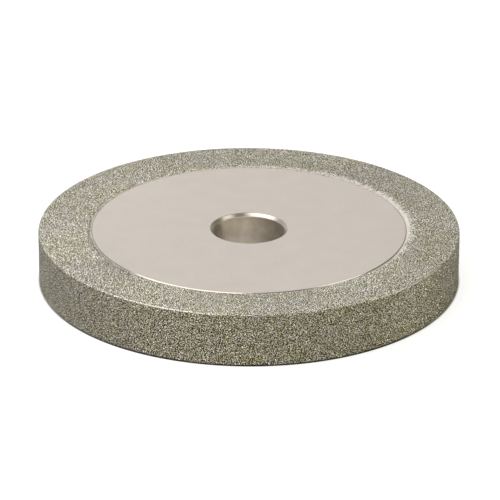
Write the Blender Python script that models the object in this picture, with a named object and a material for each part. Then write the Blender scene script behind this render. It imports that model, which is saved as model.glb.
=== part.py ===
"""Flat electroplated diamond grinding wheel, lying on its side.

The frame is metres with +Z up. The origin is on the wheel's axis, level with its lower coated face.
Every piece is a solid of revolution about Z, turned from a closed outline in the XZ plane.
"""

import math

import bmesh
import bpy

# Driving dimensions
WHEEL_DIAMETER = 0.150
WHEEL_WIDTH = 0.019
BORE_DIAMETER = 0.0254
BORE_CHAMFER = 0.0012
LAND_RADIUS = 0.0562
LAND_CHAMFER = 0.0003
COAT_THICKNESS = 0.0005
LAND_DEPTH = 0.00045
CORNER_BREAK = 0.0004
MARGIN_WIDTH = 0.0012
MARGIN_EDGE_HEIGHT = 0.0002
GAP = 0.0003
SEGMENTS = 96
SHARP_ANGLE = math.radians(30)

# Places worked out from them
MID_HEIGHT = WHEEL_WIDTH / 2
RIM_RADIUS = WHEEL_DIAMETER / 2
BORE_RADIUS = BORE_DIAMETER / 2
LAND_HEIGHT = MID_HEIGHT - LAND_DEPTH
COAT_TOP = MID_HEIGHT
COAT_BOTTOM = COAT_TOP - COAT_THICKNESS
SEAT_HEIGHT = COAT_BOTTOM - GAP
RIM_COAT_INNER = RIM_RADIUS - COAT_THICKNESS
CORE_RADIUS = RIM_COAT_INNER - GAP
MARGIN_INNER = LAND_RADIUS + GAP
MARGIN_OUTER = MARGIN_INNER + MARGIN_WIDTH
BAND_INNER = MARGIN_OUTER + GAP
BAND_OUTER = CORE_RADIUS

# Colour, metallic value and roughness of each finish
STEEL = ((0.60, 0.56, 0.52), 1.0, 0.32)
NICKEL = ((0.66, 0.64, 0.60), 1.0, 0.38)
GRIT = ((0.30, 0.29, 0.23), 0.6, 0.65)


def clear_scene():
    """Removes every object that the file already holds."""
    for existing in list(bpy.data.objects):
        bpy.data.objects.remove(existing, do_unlink=True)


def finish(name, colour, metallic, roughness):
    """A plain Principled material."""
    material = bpy.data.materials.new(name)
    material.use_nodes = True
    shader = material.node_tree.nodes["Principled BSDF"]
    shader.inputs["Base Color"].default_value = (*colour, 1.0)
    shader.inputs["Metallic"].default_value = metallic
    shader.inputs["Roughness"].default_value = roughness
    return material


def mirrored(upper_half):
    """Closes an outline whose upper half runs from the bore side outwards, about the mid-plane."""
    lower_half = [(radius, -height) for radius, height in reversed(upper_half)]
    return upper_half + lower_half


def flipped(outline):
    """The same outline on the other side of the mid-plane."""
    return [(radius, -height) for radius, height in reversed(outline)]


def turned(name, outline, look):
    """Spins a closed outline of (radius, height above the mid-plane) into a ring about the Z axis."""
    bm = bmesh.new()
    corners = [bm.verts.new((radius, 0.0, MID_HEIGHT + height)) for radius, height in outline]
    sides = [bm.edges.new((a, b)) for a, b in zip(corners, corners[1:] + corners[:1])]
    bmesh.ops.spin(
        bm,
        geom=corners + sides,
        axis=(0.0, 0.0, 1.0),
        cent=(0.0, 0.0, 0.0),
        angle=2 * math.pi,
        steps=SEGMENTS,
        use_merge=True,
    )
    bmesh.ops.recalc_face_normals(bm, faces=bm.faces)
    mesh = bpy.data.meshes.new(name)
    bm.to_mesh(mesh)
    bm.free()
    mesh.shade_smooth()
    mesh.set_sharp_from_angle(angle=SHARP_ANGLE)
    piece = bpy.data.objects.new(name, mesh)
    piece.data.materials.append(finish(name, *look))
    bpy.context.scene.collection.objects.link(piece)
    return piece


def core_outline():
    """Bore, chamfer, clamping land, chamfered land edge, plating seat and rim, then the mirror image."""
    return mirrored(
        [
            (BORE_RADIUS, LAND_HEIGHT - BORE_CHAMFER),
            (BORE_RADIUS + BORE_CHAMFER, LAND_HEIGHT),
            (LAND_RADIUS - LAND_CHAMFER, LAND_HEIGHT),
            (LAND_RADIUS, LAND_HEIGHT - LAND_CHAMFER),
            (LAND_RADIUS, SEAT_HEIGHT),
            (CORE_RADIUS - CORNER_BREAK, SEAT_HEIGHT),
            (CORE_RADIUS, SEAT_HEIGHT - CORNER_BREAK),
        ]
    )


def rim_outline():
    """A tube as tall as the wheel, with its two outer corners broken."""
    return mirrored(
        [
            (RIM_COAT_INNER, COAT_TOP),
            (RIM_RADIUS - CORNER_BREAK, COAT_TOP),
            (RIM_RADIUS, COAT_TOP - CORNER_BREAK),
        ]
    )


def ring_outline(inner, outer, inner_height):
    """A ring of the plating's thickness on its seat in the upper face, lower along its inner edge."""
    return [
        (inner, COAT_BOTTOM),
        (inner, COAT_BOTTOM + inner_height),
        (outer, COAT_TOP),
        (outer, COAT_BOTTOM),
    ]


def build():
    clear_scene()
    band = ring_outline(BAND_INNER, BAND_OUTER, COAT_THICKNESS)
    margin = ring_outline(MARGIN_INNER, MARGIN_OUTER, MARGIN_EDGE_HEIGHT)
    turned("core_disc", core_outline(), STEEL)
    turned("rim_grit_coat", rim_outline(), GRIT)
    turned("upper_grit_coat", band, GRIT)
    turned("lower_grit_coat", flipped(band), GRIT)
    turned("upper_nickel_margin", margin, NICKEL)
    turned("lower_nickel_margin", flipped(margin), NICKEL)


build()
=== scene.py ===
"""Looks of the flat electroplated diamond grinding wheel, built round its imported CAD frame.

The core is one turned piece. The plated skin is one lattice of points that wraps from the upper land over
both corners to the lower land: every third point is the tip of a diamond grain, and the points round it
lie in the nickel bond. The lattice is cut into closed pieces, one ring for each nickel margin and twelve
sectors for each coat, so that none of them is heavy.
"""

import math

import bpy
import numpy as np
from mathutils import Matrix, Vector


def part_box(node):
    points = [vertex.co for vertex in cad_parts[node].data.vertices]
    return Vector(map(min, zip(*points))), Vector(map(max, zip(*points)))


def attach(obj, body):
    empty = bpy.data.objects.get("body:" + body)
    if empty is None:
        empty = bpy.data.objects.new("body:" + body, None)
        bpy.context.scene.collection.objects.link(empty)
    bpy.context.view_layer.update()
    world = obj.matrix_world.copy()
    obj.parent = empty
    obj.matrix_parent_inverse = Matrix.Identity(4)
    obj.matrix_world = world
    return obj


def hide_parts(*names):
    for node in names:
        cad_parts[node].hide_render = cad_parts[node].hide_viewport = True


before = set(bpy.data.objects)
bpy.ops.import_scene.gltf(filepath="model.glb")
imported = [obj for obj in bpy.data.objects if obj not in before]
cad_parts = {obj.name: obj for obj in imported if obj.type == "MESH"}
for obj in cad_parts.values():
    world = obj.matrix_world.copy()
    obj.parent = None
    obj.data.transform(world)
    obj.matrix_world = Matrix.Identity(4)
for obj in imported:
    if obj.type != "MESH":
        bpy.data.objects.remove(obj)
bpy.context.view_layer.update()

MM = 0.001
SEED = 41

# Places read from the frame, with heights above the mid-plane
CORE_LOW, CORE_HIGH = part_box("core_disc")
RIM_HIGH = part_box("rim_grit_coat")[1]
BAND_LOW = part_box("upper_grit_coat")[0]
MID_HEIGHT = (CORE_LOW.z + CORE_HIGH.z) / 2
LAND_HEIGHT = CORE_HIGH.z - MID_HEIGHT
RIM_RADIUS = RIM_HIGH.x
COAT_BOTTOM = BAND_LOW.z - MID_HEIGHT

# Turned core
BORE_RADIUS = 12.7 * MM
BORE_CHAMFER = 1.2 * MM
LAND_RADIUS = 56.2 * MM
LAND_CHAMFER = 0.3 * MM
EDGE_ROUND = 0.05 * MM
MOUTH_ROUND = 0.5 * MM
MOUTH_STEPS = 6
SEAT_GAP = 0.3 * MM
CORE_SEGMENTS = 360
LAND_RINGS = 40
BORE_RINGS = 24
CORE_SHARP_DEGREES = 40

# Plated skin: the lattice and its line
SECTORS = 12
COLUMNS = 2160
ROW_PITCH = 0.19 * MM
SKIN_INNER = LAND_RADIUS + 0.07 * MM
SKIN_DEPTH = 0.45 * MM
MARGIN_WIDTH = 1.0 * MM
CORNER_ROUND = 0.4 * MM
CORNER_ROWS = 5
FOOT_DEPTH = 0.35 * MM
RAMP_DEPTH = 0.22 * MM
FOOT_LEAN = 0.03 * MM
RAMP_WIDTH = 1.4 * MM
SKIN_SHARP_DEGREES = 20

# Plated skin: grains and the nickel between them
GRAIN_RISE = 0.115 * MM
BOND_BELOW_TIPS = 0.1 * MM
COAT_TOP = RIM_HIGH.z - MID_HEIGHT - BOND_BELOW_TIPS
BOND_DIP = 0.03 * MM
BARE_LUMPS = 0.012 * MM
BEAD_SWELL = 0.52 * MM
BEAD_START = 0.3 * MM
BEAD_END = 1.2 * MM
JITTER = 0.22
SET_OFF = 0.8
PALEST_PLAIN_GRAIN = 0.94
GRAIN_SHARE = 0.94
PAINTED_GLINT_SHARE = 0.03
CORNER_GRAINS = 0.55
CORNER_WEAR_AND_HIGHLIGHT = 0.94
HIDDEN_SHADE = 0.4
MARGIN_KNOTS = 150
BEAD_KNOTS = 420

# Places round the wheel: an angle from the right-hand side and how far it reaches, in degrees
BARE_RIGHT = (3, 70)
BEAD_BACK = (64, 58)
BEAD_LEFT = (130, 40)
# Two stretches of the outer corner left bare: partly wear, partly a painted highlight line of pale nickel
WORN_AND_HIGHLIT_LEFT = (-116, 24)
WORN_AND_HIGHLIT_RIGHT = (-42, 26)

# Camera
CAMERA_ELEVATION = math.radians(23.85)
CAMERA_DISTANCE = 1.2255
FOCAL_LENGTH = 246.6
CAMERA_ROLL = math.radians(0.229)
AIM_RIGHT = 0.38 * MM
AIM_UP = 0.36 * MM

# Studio
ROOM_BRIGHT_SIDE = Vector((-0.4, 0.917, 0.0))
ROOM_FADE = (0.2, 0.7)
ROOM_DIM = 0.22
ROOM_WARMTH = (1.0, 0.94, 0.72)
ROOM_BRIGHT = 0.60
FLOOR_SIZE = 24.0
FLOOR_TONE = 0.5
FLOOR_LIFT = 0.77
CONTACT_REACH = 1.2 * MM
CONTACT_TONE = 0.02

# Lamps in a ring round the front: the first and last direction of each, its radiance and its colour
RING_DISTANCE = 1.0
RING_HEIGHT = 0.12
RING_LAMPS = {
    "left_lamp": ((-0.72, -0.66, 0.24), (-0.3, -0.92, 0.26), 5.7, (1.0, 0.975, 0.86)),
    "front_lamp": ((-0.3, -0.92, 0.26), (0.14, -0.95, 0.26), 3.5, (1.0, 0.97, 0.83)),
    "right_lamp": ((0.60, -0.76, 0.2), (0.86, -0.48, 0.2), 3.4, (1.0, 0.96, 0.70)),
    "end_lamp": ((0.94, -0.30, 0.2), (0.98, 0.10, 0.2), 5.8, (1.0, 0.96, 0.68)),
}


def rgb(red, green, blue):
    """A colour given as linear values, with alpha."""
    return (red, green, blue, 1.0)


class Nodes:
    """A material's node tree, with a short way to add a node, set its sockets and link it."""

    def __init__(self, name):
        self.material = bpy.data.materials.new(name)
        self.material.use_nodes = True
        self.tree = self.material.node_tree
        self.shader = self.tree.nodes["Principled BSDF"]

    def put(self, socket, value):
        """Links a node's output to a socket, or sets the socket to a plain value."""
        if isinstance(value, bpy.types.NodeSocket):
            self.tree.links.new(value, socket)
        else:
            socket.default_value = value

    def add(self, kind, sockets, **settings):
        """Adds a shader node with its sockets and settings."""
        node = self.tree.nodes.new("ShaderNode" + kind)
        for key, value in settings.items():
            setattr(node, key, value)
        for key, value in sockets.items():
            self.put(node.inputs[key], value)
        return node

    def shade(self, **sockets):
        """Sets the Principled shader's sockets, written with _ for a space."""
        for key, value in sockets.items():
            self.put(self.shader.inputs[key.replace("_", " ")], value)

    def place(self):
        """The shaded point in the object's own metres."""
        return self.add("TexCoord", {}).outputs["Object"]

    def attribute(self, name):
        """A value that the mesh stores under a name."""
        return self.add("Attribute", {}, attribute_name=name).outputs["Fac"]

    def math(self, operation, *values):
        sockets = dict(enumerate(values))
        return self.add("Math", sockets, operation=operation).outputs[0]

    def noise(self, vector, size, detail=2.0):
        """Noise between 0 and 1 with features of about the given size in metres."""
        sockets = {"Vector": vector, "Scale": 1.0 / size, "Detail": detail}
        return self.add("TexNoise", sockets).outputs["Fac"]

    def span(self, value, low, high, to_low=0.0, to_high=1.0):
        """Maps a value from one range onto another, clamped."""
        sockets = {"Value": value, "From Min": low, "From Max": high, "To Min": to_low, "To Max": to_high}
        return self.add("MapRange", sockets).outputs["Result"]

    def mix(self, factor, first, second):
        """A mix of two colours."""
        node = self.add("Mix", {}, data_type="RGBA")
        self.put(node.inputs["Factor"], factor)
        self.put(node.inputs[6], first)
        self.put(node.inputs[7], second)
        return node.outputs[2]

    def ramp(self, factor, *stops):
        """A colour ramp through (position, colour) stops."""
        node = self.add("ValToRGB", {"Fac": factor})
        elements = node.color_ramp.elements
        while len(elements) < len(stops):
            elements.new(0.5)
        for element, (position, colour) in zip(elements, stops):
            element.position = position
            element.color = colour
        return node.outputs["Color"]

    def bump(self, height, distance):
        return self.add("Bump", {"Height": height, "Distance": distance}).outputs["Normal"]


# ---------------------------------------------------------------- camera, light and floor


def make_camera():
    """A long lens in front of the wheel, looking down at it."""
    data = bpy.data.cameras.new("camera")
    data.sensor_width = 36.0
    data.lens = FOCAL_LENGTH
    data.clip_start = 0.05
    data.clip_end = 50.0
    camera = bpy.data.objects.new("camera", data)
    bpy.context.scene.collection.objects.link(camera)
    back = Vector((0.0, -math.cos(CAMERA_ELEVATION), math.sin(CAMERA_ELEVATION)))
    up = Vector((0.0, math.sin(CAMERA_ELEVATION), math.cos(CAMERA_ELEVATION)))
    right = Vector((1.0, 0.0, 0.0))
    centre = Vector((0.0, 0.0, MID_HEIGHT))
    place = centre + back * CAMERA_DISTANCE
    aim = centre + right * AIM_RIGHT + up * AIM_UP
    turn = (aim - place).to_track_quat("-Z", "Y").to_matrix().to_4x4()
    camera.matrix_world = Matrix.Translation(place) @ turn @ Matrix.Rotation(CAMERA_ROLL, 4, "Z")
    bpy.context.scene.camera = camera


def softbox(name, first, last, distance, height, radiance, colour=(1.0, 1.0, 1.0)):
    """A rectangular light that the wheel sees stretched from one direction to another."""
    first = Vector(first).normalized()
    last = Vector(last).normalized()
    away = (first + last).normalized()
    along = (last - first).normalized()
    across = away.cross(along)
    width = 2 * distance * math.tan(first.angle(last) / 2)
    data = bpy.data.lights.new(name, "AREA")
    data.shape = "RECTANGLE"
    data.size = width
    data.size_y = height
    data.energy = radiance * math.pi * width * height
    data.color = colour
    box = bpy.data.objects.new(name, data)
    box.visible_camera = False
    turn = Matrix((along, across, away)).transposed().to_4x4()
    box.matrix_world = Matrix.Translation(Vector((0.0, 0.0, MID_HEIGHT)) + away * distance) @ turn
    bpy.context.scene.collection.objects.link(box)


def make_world():
    """A pale room, white behind the wheel and dimmer and warmer in front, and plain white to the camera."""
    world = bpy.data.worlds.new("studio")
    world.use_nodes = True
    bpy.context.scene.world = world
    nodes, links = world.node_tree.nodes, world.node_tree.links
    nodes.clear()
    out = nodes.new("ShaderNodeOutputWorld")
    place = nodes.new("ShaderNodeTexCoord")
    side = nodes.new("ShaderNodeVectorMath")
    side.operation = "DOT_PRODUCT"
    side.inputs[1].default_value = ROOM_BRIGHT_SIDE
    fade = nodes.new("ShaderNodeValToRGB")
    first, last = fade.color_ramp.elements
    first.position = ROOM_FADE[0]
    first.color = [ROOM_DIM * part for part in ROOM_WARMTH] + [1.0]
    last.position = ROOM_FADE[1]
    last.color = rgb(ROOM_BRIGHT, ROOM_BRIGHT, ROOM_BRIGHT)
    room = nodes.new("ShaderNodeBackground")
    seen = nodes.new("ShaderNodeBackground")
    seen.inputs["Color"].default_value = rgb(1.0, 1.0, 1.0)
    rays = nodes.new("ShaderNodeLightPath")
    mix = nodes.new("ShaderNodeMixShader")
    links.new(place.outputs["Generated"], side.inputs[0])
    links.new(side.outputs["Value"], fade.inputs["Fac"])
    links.new(fade.outputs["Color"], room.inputs["Color"])
    links.new(rays.outputs["Is Camera Ray"], mix.inputs["Fac"])
    links.new(room.outputs[0], mix.inputs[1])
    links.new(seen.outputs[0], mix.inputs[2])
    links.new(mix.outputs[0], out.inputs["Surface"])


def make_floor():
    """A plain pale floor that its own light lifts to white, with a thin contact shadow under the front."""
    bpy.ops.mesh.primitive_plane_add(size=FLOOR_SIZE, location=(0.0, 0.0, 0.0))
    floor = bpy.context.object
    floor.name = "floor"
    build = Nodes("floor_white")
    open_air = build.add("AmbientOcclusion", {"Distance": CONTACT_REACH}).outputs["AO"]
    seen = build.add("LightPath", {}).outputs["Is Camera Ray"]
    lift = build.math("MULTIPLY", build.span(open_air, 0.5, 0.85, 0.0, FLOOR_LIFT), seen)
    depth = build.add("SeparateXYZ", {0: build.place()}).outputs["Y"]
    front = build.span(depth, -0.4 * RIM_RADIUS, -0.8 * RIM_RADIUS)
    contact = build.math("MULTIPLY", build.span(open_air, 0.8, 0.6), front)
    tones = [rgb(tone, tone, tone) for tone in (FLOOR_TONE, CONTACT_TONE)]
    build.shade(
        Base_Color=build.mix(contact, *tones),
        Roughness=0.9,
        Emission_Color=rgb(1.0, 1.0, 1.0),
        Emission_Strength=lift,
    )
    floor.data.materials.append(build.material)


def light_stage():
    """The room, the floor, and soft lights for the land, the rim, the back and the bore."""
    make_world()
    make_floor()
    softbox("softbox_left", (-0.755, 0.12, 0.646), (0.0, -0.43, 0.9), 0.4, 0.26, 2.33)
    softbox("softbox_right", (0.53, -0.2, 0.82), (0.745, 0.17, 0.646), 1.0, 0.18, 2.4)
    for name, (first, last, radiance, colour) in RING_LAMPS.items():
        softbox(name, first, last, RING_DISTANCE, RING_HEIGHT, radiance, colour)
    softbox("back_softbox", (-0.5, 0.75, 0.42), (0.25, 0.85, 0.42), 0.5, 0.3, 0.54)
    softbox("back_lamp", (-0.65, 0.65, 0.2), (-0.1, 0.95, 0.2), 0.3, 0.1, 0.17)
    softbox("top_softbox", (-0.1, 0.45, 0.84), (0.5, 0.45, 0.84), 0.3, 0.15, 0.58)
    just_above_floor = MID_HEIGHT - 0.5 * MM
    softbox("paper_in_bore", (-1.1, 0.0, -1.0), (1.1, 0.0, -1.0), just_above_floor, 18 * MM, 0.42)
    bpy.context.scene.view_settings.view_transform = "Standard"


# ---------------------------------------------------------------- materials


def land_colour(build, place):
    """Pale nickel over steel, faintly clouded, with small light and dark flecks."""
    cloud = build.noise(place, 9 * MM, 3.0)
    fleck = build.noise(place, 0.6 * MM)
    colour = build.mix(build.span(cloud, 0.3, 0.7), rgb(0.562, 0.505, 0.455), rgb(0.590, 0.532, 0.481))
    colour = build.mix(build.span(fleck, 0.52, 0.72, 0.0, 0.6), colour, rgb(0.612, 0.553, 0.501))
    return build.mix(build.span(fleck, 0.48, 0.28, 0.0, 0.6), colour, rgb(0.52, 0.464, 0.414))


def bore_colour_with_painted_light_and_shade(build, place, spoke):
    """Upright streaks and blotches, with painted light that makes the wall paler low down and to the left,
    and painted shade that darkens it towards each side.
    """
    x, _, z = build.add("SeparateXYZ", {0: place}).outputs
    streak = build.noise(spoke, 0.5, 3.0)
    blotch = build.noise(place, 3 * MM, 3.0)
    pale = build.math("ADD", build.math("MULTIPLY", streak, 0.3), build.math("MULTIPLY", blotch, 0.7))
    # painted light: the wall is made paler low down, as if lit from the floor below the bore, and paler to
    # the left
    pale = build.math("ADD", pale, build.span(z, 17 * MM, 4 * MM, -0.08, 0.2))
    pale = build.math("ADD", pale, build.span(x, -BORE_RADIUS, BORE_RADIUS, 0.14, -0.10))
    colour = build.mix(build.span(pale, 0.35, 0.65), rgb(0.76, 0.665, 0.57), rgb(0.94, 0.855, 0.75))
    # painted shade: the wall is darkened towards each side of the bore
    side = build.math("DIVIDE", x, BORE_RADIUS)
    side = build.math("ADD", side, build.span(pale, 0.3, 0.7, 0.12, -0.12))
    colour = build.mix(build.span(side, -0.3, 0.95, 0.0, 0.7), colour, rgb(0.16, 0.145, 0.125))
    return build.mix(build.span(side, -0.7, -0.95, 0.0, 0.75), colour, rgb(0.16, 0.14, 0.115))


def steel_roughness(build, radius, rings, inside):
    """Satin on the lands, rougher in the bore, smoother on its chamfer and on the land's outer edge."""
    mouth_end = BORE_RADIUS + 1.1 * BORE_CHAMFER
    mouth = build.span(radius, mouth_end, mouth_end - 0.2 * BORE_CHAMFER)
    edge_start = LAND_RADIUS - 1.1 * LAND_CHAMFER
    land_edge = build.span(radius, edge_start, edge_start + 0.2 * LAND_CHAMFER)
    rough = build.span(rings, 0.3, 0.7, 0.34, 0.40)
    rough = build.math("ADD", rough, build.math("MULTIPLY", inside, 0.25))
    rough = build.math("SUBTRACT", rough, build.math("MULTIPLY", mouth, 0.07))
    return build.math("SUBTRACT", rough, build.math("MULTIPLY", land_edge, 0.17))


def steel_material():
    """Satin nickel-flashed steel: faint turning rings on the lands, and upright streaks in the bore."""
    build = Nodes("core_steel")
    place = build.place()
    x, y, _ = build.add("SeparateXYZ", {0: place}).outputs
    flat = build.add("CombineXYZ", {0: x, 1: y}).outputs[0]
    spoke = build.add("VectorMath", {0: flat}, operation="NORMALIZE").outputs[0]
    radius = build.add("VectorMath", {0: flat}, operation="LENGTH").outputs["Value"]
    rings = build.noise(build.add("CombineXYZ", {0: radius}).outputs[0], 0.16 * MM, 3.0)
    inside = build.span(radius, BORE_RADIUS + 0.2 * MM, BORE_RADIUS + 0.05 * MM)
    build.shade(
        Base_Color=build.mix(inside, land_colour(build, place), bore_colour_with_painted_light_and_shade(build, place, spoke)),
        Metallic=build.span(inside, 0.0, 1.0, 1.0, 0.7),
        Roughness=steel_roughness(build, radius, rings, inside),
        Normal=build.bump(rings, 0.0006 * MM),
    )
    return build.material


def grit_colour(build, place):
    """Each grain's own shade, from dark through olive or tan to white, with a few grains painted white as
    glints, and the hue in patches.
    """
    patch = build.noise(place, 12 * MM, 4.0)
    clump = build.noise(place, 2.2 * MM, 3.0)
    grain = build.math("ADD", build.attribute("grain"), build.span(clump, 0.3, 0.7, -0.09, 0.07))
    olive = build.ramp(
        grain,
        (0.0, rgb(0.058, 0.050, 0.007)),
        (0.5, rgb(0.445, 0.403, 0.172)),
        (1.0, rgb(0.93, 0.925, 0.935)),
    )
    tan = build.ramp(
        grain,
        (0.0, rgb(0.056, 0.047, 0.013)),
        (0.5, rgb(0.462, 0.402, 0.256)),
        (1.0, rgb(0.94, 0.925, 0.935)),
    )
    return build.mix(build.span(patch, 0.38, 0.62), olive, tan)


def plating_material(name):
    """Diamond grains held in nickel: each grain has its own shade, and bare nickel shows between them."""
    build = Nodes(name)
    place = build.place()
    bare = build.attribute("bare")
    tarnish = build.noise(place, 0.5 * MM)
    nickel = build.mix(build.span(tarnish, 0.3, 0.7), rgb(0.64, 0.59, 0.53), rgb(0.78, 0.73, 0.665))
    scuff = build.noise(place, 0.12 * MM)
    rough = build.math("ADD", build.span(scuff, 0.3, 0.7, 0.19, 0.30), build.math("MULTIPLY", bare, 0.1))
    build.shade(
        Base_Color=build.mix(bare, grit_colour(build, place), nickel),
        Metallic=build.span(bare, 0.0, 1.0, 0.85, 1.0),
        Roughness=rough,
        Normal=build.bump(scuff, 0.006 * MM),
    )
    return build.material


# ---------------------------------------------------------------- meshes


def smooth_mesh(name, points, faces, sharp_degrees):
    """A mesh object from lists of points and faces, shaded smooth up to an angle."""
    mesh = bpy.data.meshes.new(name)
    mesh.from_pydata(points, [], faces)
    mesh.update()
    mesh.shade_smooth()
    mesh.set_sharp_from_angle(angle=math.radians(sharp_degrees))
    piece = bpy.data.objects.new(name, mesh)
    bpy.context.scene.collection.objects.link(piece)
    return piece


def place_piece(piece, node, material):
    """Gives a piece its material and body, and hides the CAD part that it stands for."""
    piece.data.materials.append(material)
    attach(piece, "root")
    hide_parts(node)


def rounded(before, corner, after, radius, steps=3):
    """Points of a small arc that rounds the corner between two straight runs of an outline."""
    a, c, b = (np.array(p, float) for p in (before, corner, after))
    into, out = (a - c) / np.linalg.norm(a - c), (b - c) / np.linalg.norm(b - c)
    half = math.acos(float(np.clip(np.dot(into, out), -1, 1))) / 2
    reach = radius / math.tan(half)
    centre = c + (into + out) / np.linalg.norm(into + out) * (radius / math.sin(half))
    first, last = c + into * reach - centre, c + out * reach - centre
    points = []
    for step in range(steps + 1):
        blend = step / steps
        spoke = first * (1 - blend) + last * blend
        points.append(centre + spoke / np.linalg.norm(spoke) * radius)
    return points


def between(first, last, count):
    """Points evenly spaced between two, without the ends."""
    a, b = np.array(first, float), np.array(last, float)
    return [a + (b - a) * i / (count + 1) for i in range(1, count + 1)]


# ---------------------------------------------------------------- core


def core_outline():
    """The core's closed outline as (radius, height above the mid-plane), from the bore outwards and back."""
    top = LAND_HEIGHT
    seat = COAT_BOTTOM - SEAT_GAP
    rim = RIM_RADIUS - (COAT_TOP - seat)
    bore_edge = (BORE_RADIUS, top - BORE_CHAMFER)
    land_start = (BORE_RADIUS + BORE_CHAMFER, top)
    land_end = (LAND_RADIUS - LAND_CHAMFER, top)
    land_foot = (LAND_RADIUS, top - LAND_CHAMFER)
    step = (LAND_RADIUS, seat)
    half = rounded((BORE_RADIUS, 0.0), bore_edge, land_start, EDGE_ROUND)
    half += rounded(bore_edge, land_start, land_end, MOUTH_ROUND, MOUTH_STEPS)
    half += between(half[-1], land_end, LAND_RINGS)
    half += rounded(land_start, land_end, land_foot, EDGE_ROUND)
    half += rounded(land_end, land_foot, step, EDGE_ROUND)
    half += [np.array(step), np.array((rim, seat))]
    lower = [np.array((r, -z)) for r, z in reversed(half)]
    return half + lower + between(lower[-1], half[0], BORE_RINGS)


def make_core(material):
    """The core, turned from its outline about the axis."""
    outline = core_outline()
    count = len(outline)
    points = []
    for turn in np.arange(CORE_SEGMENTS) * 2 * math.pi / CORE_SEGMENTS:
        for radius, height in outline:
            points.append((radius * math.cos(turn), radius * math.sin(turn), MID_HEIGHT + height))
    faces = []
    for i in range(CORE_SEGMENTS):
        here, there = i * count, (i + 1) % CORE_SEGMENTS * count
        for j in range(count):
            k = (j + 1) % count
            faces.append((here + k, there + k, there + j, here + j))
    core = smooth_mesh("core", points, faces, CORE_SHARP_DEGREES)
    place_piece(core, "core_disc", material)


# ---------------------------------------------------------------- plated skin


def ease(low, high, value):
    """0 below low, 1 above high, and smooth between them."""
    x = np.clip((value - low) / (high - low), 0.0, 1.0)
    return x * x * (3 - 2 * x)


def around(turn, place):
    """1 at a place round the wheel, falling smoothly to 0 at the end of its reach."""
    centre_degrees, reach_degrees = place
    off = (turn - math.radians(centre_degrees) + math.pi) % (2 * math.pi) - math.pi
    return 1 - ease(0.0, math.radians(reach_degrees), np.abs(off))


def ripple(turn, count, rng):
    """Smooth random values between 0 and 1 round the wheel, with a number of knots."""
    knots = rng.uniform(0.0, 1.0, count)
    knots = np.append(knots, knots[0])
    where = (turn % (2 * math.pi)) / (2 * math.pi) * count
    first = np.minimum(where.astype(int), count - 1)
    blend = ease(0.0, 1.0, where - first)
    return knots[first] * (1 - blend) + knots[first + 1] * blend


def skin_line():
    """The skin's rows as (radius, height above the mid-plane), from the upper land to the lower.

    The line starts in the seat beside the land's edge, and a ramp leads from there up to the coat.
    """
    corner = RIM_RADIUS - CORNER_ROUND
    foot = (SKIN_INNER, LAND_HEIGHT - FOOT_DEPTH)
    ramp_start = (SKIN_INNER + FOOT_LEAN, LAND_HEIGHT - RAMP_DEPTH)
    ramp_end = (SKIN_INNER + RAMP_WIDTH, COAT_TOP)
    half = [foot] + between(foot, ramp_start, 1) + [ramp_start]
    half += between(ramp_start, ramp_end, round(RAMP_WIDTH / ROW_PITCH)) + [ramp_end]
    half += between(ramp_end, (corner, COAT_TOP), round((corner - ramp_end[0]) / ROW_PITCH) - 1)
    for turn in np.linspace(math.pi / 2, 0, CORNER_ROWS):
        half.append((corner + CORNER_ROUND * math.cos(turn), COAT_TOP - CORNER_ROUND * (1 - math.sin(turn))))
    rim_top = half[-1]
    rim_rows = 2 * round(rim_top[1] / ROW_PITCH)
    rim = between(rim_top, (rim_top[0], -rim_top[1]), rim_rows - 1)
    lower = [(r, -z) for r, z in reversed(half)]
    return np.array([tuple(p) for p in half + rim + lower])


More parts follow.
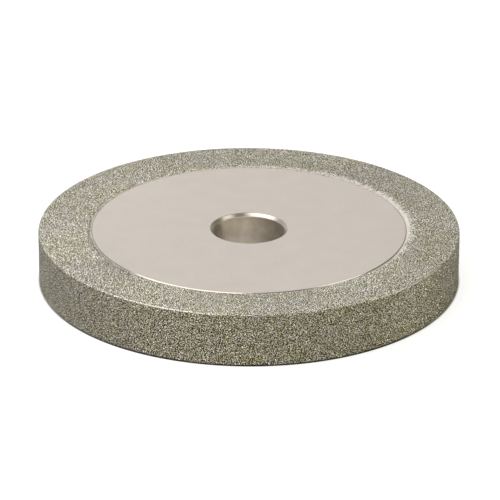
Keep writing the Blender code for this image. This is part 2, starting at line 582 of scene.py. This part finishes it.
class Skin:
    """The lattice of the plated skin: its points, and what each of them is."""

    def __init__(self):
        rng = np.random.default_rng(SEED)
        self.line = skin_line()
        rows = len(self.line)
        along = np.gradient(self.line, axis=0)
        along /= np.linalg.norm(along, axis=1)[:, None]
        self.normal = np.stack([-along[:, 1], along[:, 0]], 1)
        row, column = np.meshgrid(np.arange(rows), np.arange(COLUMNS), indexing="ij")
        shape = row.shape
        self.tip = (column - row // 2 - row) % 3 == 0
        step = 2 * math.pi / COLUMNS
        plain = (column + 0.5 * (row % 2)) * step
        self.turn = plain + rng.uniform(-JITTER, JITTER, shape) * step
        slide = rng.uniform(-JITTER, JITTER, shape) * ROW_PITCH
        self.grain = self.grain_shades(rng, row, column)
        self.bare = self.bareness(plain, rng)
        rise = self.rise(plain, rng)
        radius = self.line[row, 0] + self.normal[row, 0] * rise + along[row, 0] * slide
        height = self.line[row, 1] + self.normal[row, 1] * rise + along[row, 1] * slide
        across = np.stack([radius * np.cos(self.turn), radius * np.sin(self.turn)], -1)
        self.points = np.concatenate([across, MID_HEIGHT + height[..., None]], -1)

    def grain_shades(self, rng, row, column):
        """A shade for each grain, set off against the six grains round it so that like ones don't clump; a
        few grains are painted white as glints.
        """
        rows = len(self.line)
        even = rng.uniform(0.0, 1.0, row.shape)
        step = 1 + row % 2
        near = even[(row - 2) % rows, column] + even[(row + 2) % rows, column]
        for up in (-1, 1):
            for along in (step, step - 3):
                near = near + even[(row + up) % rows, (column + along) % COLUMNS]
        shade = ease(-0.36, 0.32, even - 0.5 - SET_OFF * (near / 6 - 0.5))
        # painted highlights: a few grains are made white to stand for glints off their facets
        painted_glint = rng.uniform(0.0, 1.0, row.shape) < PAINTED_GLINT_SHARE
        return np.where(painted_glint, 1.0, PALEST_PLAIN_GRAIN * shade)

    def inland(self):
        """How far each row is from the land's edge, along the face."""
        return (self.line[:, 0] - SKIN_INNER)[:, None]

    def on_corner(self):
        """Whether each row lies on the rounding of an outer corner."""
        wide = self.line[:, 0] > RIM_RADIUS - CORNER_ROUND
        return (wide & (np.abs(self.line[:, 1]) > COAT_TOP - CORNER_ROUND))[:, None]

    def bareness(self, turn, rng):
        """1 where a grain is missing and the nickel shows, 0 where a grain sits."""
        width = 0.25 * MM + 1.3 * MM * around(turn, BARE_RIGHT) + 0.8 * MM * around(turn, BEAD_BACK)
        width = width * (0.7 + 0.6 * ripple(turn, MARGIN_KNOTS, rng))
        cover = ease(0.0, 2.4, self.inland() / width)
        # painted highlight: over two stretches at the front the corner loses most of its grains, and the
        # pale bare nickel stands for a bright line on the edge as well as for wear
        worn_and_highlit = np.maximum(around(turn, WORN_AND_HIGHLIT_LEFT), around(turn, WORN_AND_HIGHLIT_RIGHT))
        cover = np.where(self.on_corner(), cover * (1 - CORNER_WEAR_AND_HIGHLIGHT * worn_and_highlit), cover)
        return (rng.uniform(0.0, 1.0, turn.shape) > cover).astype(float)

    def rise(self, turn, rng):
        """How far each point stands out of the skin's line, with a smooth bead beside the upper land."""
        tall = GRAIN_RISE * rng.uniform(0.35, 1.0, turn.shape)
        lumps = BARE_LUMPS * rng.uniform(-1.0, 1.0, turn.shape)
        dip = -BOND_DIP * rng.uniform(0.0, 1.0, turn.shape)
        grit = np.where(self.tip, tall * (1 - self.bare), dip)
        inland = self.inland()
        smooth = 1 - ease(0.35, 1.2, inland / (0.3 * MM + 0.8 * MM * around(turn, BARE_RIGHT)))
        bead = 1 - ease(BEAD_START, BEAD_END, inland)
        upper = self.line[:, 1][:, None] > 0
        back = np.maximum(around(turn, BEAD_BACK), 0.6 * around(turn, BEAD_LEFT))
        swell = BEAD_SWELL * bead * upper * (0.1 + back) * ripple(turn, BEAD_KNOTS, rng)
        grit = np.where(self.on_corner(), CORNER_GRAINS * grit, grit)
        return grit * (1 - 0.75 * smooth) + lumps * smooth + swell


def triangles(first, last, span):
    """The lattice's triangles between two rows, as indices into a block of rows of span + 1 points."""
    index = np.arange((last - first + 1) * (span + 1)).reshape(-1, span + 1)
    a, b = index[:-1, :-1], index[:-1, 1:]
    d, c = index[1:, :-1], index[1:, 1:]
    even = (np.arange(first, last) % 2 == 0)[:, None] & np.ones((1, span), bool)
    parts = [
        np.stack([a, d, b], -1)[even],
        np.stack([b, d, c], -1)[even],
        np.stack([a, d, c], -1)[~even],
        np.stack([a, c, b], -1)[~even],
    ]
    return index, np.concatenate(parts)


def back_row(skin, row, columns):
    """The points behind one row of the skin, on its inner face."""
    radius, height = skin.line[row] - skin.normal[row] * SKIN_DEPTH
    turn = skin.turn[row][columns]
    return np.stack([radius * np.cos(turn), radius * np.sin(turn), MID_HEIGHT + height + 0 * turn], -1)


def closing_faces(index, first_back, last_back):
    """Faces that close a block of the skin: its two long edges, its back and its two ends."""
    faces = np.stack([index[0, :-1], index[0, 1:], first_back[1:], first_back[:-1]], -1).tolist()
    faces += np.stack([index[-1, 1:], index[-1, :-1], last_back[:-1], last_back[1:]], -1).tolist()
    faces += np.stack([first_back[:-1], first_back[1:], last_back[1:], last_back[:-1]], -1).tolist()
    faces.append([int(first_back[0]), int(last_back[0])] + index[::-1, 0].tolist())
    faces.append(index[:, -1].tolist() + [int(last_back[-1]), int(first_back[-1])])
    return faces


def paint_faces(piece, name, values, count):
    """Stores a value for each face; the hidden faces after the given ones get a middling value."""
    layer = piece.data.attributes.new(name, "FLOAT", "FACE")
    padded = np.full(count, HIDDEN_SHADE, np.float32)
    padded[: len(values)] = values
    layer.data.foreach_set("value", padded)


def make_block(skin, name, first, last, columns, rng):
    """One closed piece of the skin, from one row to another over some columns."""
    span = len(columns) - 1
    index, tris = triangles(first, last, span)
    points = skin.points[first : last + 1][:, columns].reshape(-1, 3)
    backs = [back_row(skin, row, columns) for row in (first, last)]
    first_back = index.size + np.arange(span + 1)
    last_back = first_back + span + 1
    faces = tris.tolist() + closing_faces(index, first_back, last_back)
    piece = smooth_mesh(name, np.concatenate([points] + backs).tolist(), faces, SKIN_SHARP_DEGREES)
    tip = skin.tip[first : last + 1][:, columns].ravel()
    owner = tris[np.arange(len(tris)), np.argmax(tip[tris], 1)]
    grain = skin.grain[first : last + 1][:, columns].ravel()[owner]
    facet = rng.uniform(0.0, 1.0, len(tris))
    bare = skin.bare[first : last + 1][:, columns].ravel()[owner]
    paint_faces(piece, "grain", GRAIN_SHARE * grain + (1 - GRAIN_SHARE) * facet, len(faces))
    paint_faces(piece, "bare", bare, len(faces))
    return piece


def make_skin(grit, nickel):
    """The plated skin, cut into one ring for each nickel margin and twelve sectors for each coat."""
    skin = Skin()
    rng = np.random.default_rng(SEED + 1)
    end = len(skin.line) - 1
    margin = int(np.argmax(skin.line[:, 0] >= SKIN_INNER + MARGIN_WIDTH))
    corner = int(np.argmax(skin.line[:, 0] >= RIM_RADIUS - CORNER_ROUND))
    zones = [
        ("upper_nickel_margin", "bond_nickel", nickel, 0, margin, 1),
        ("upper_grit_coat", "diamond_grit", grit, margin, corner, SECTORS),
        ("rim_grit_coat", "diamond_grit", grit, corner, end - corner, SECTORS),
        ("lower_grit_coat", "diamond_grit", grit, end - corner, end - margin, SECTORS),
        ("lower_nickel_margin", "bond_nickel", nickel, end - margin, end, 1),
    ]
    for node, slot, material, first, last, sectors in zones:
        span = COLUMNS // sectors
        for sector in range(sectors):
            columns = (np.arange(span + 1) + sector * span) % COLUMNS
            name = f"skin_{node}" if sectors == 1 else f"skin_{node}_{sector + 1:02d}"
            piece = make_block(skin, name, first, last, columns, rng)
            place_piece(piece, node, material)


make_camera()
light_stage()
make_core(steel_material())
make_skin(plating_material("diamond_grit"), plating_material("bond_nickel"))
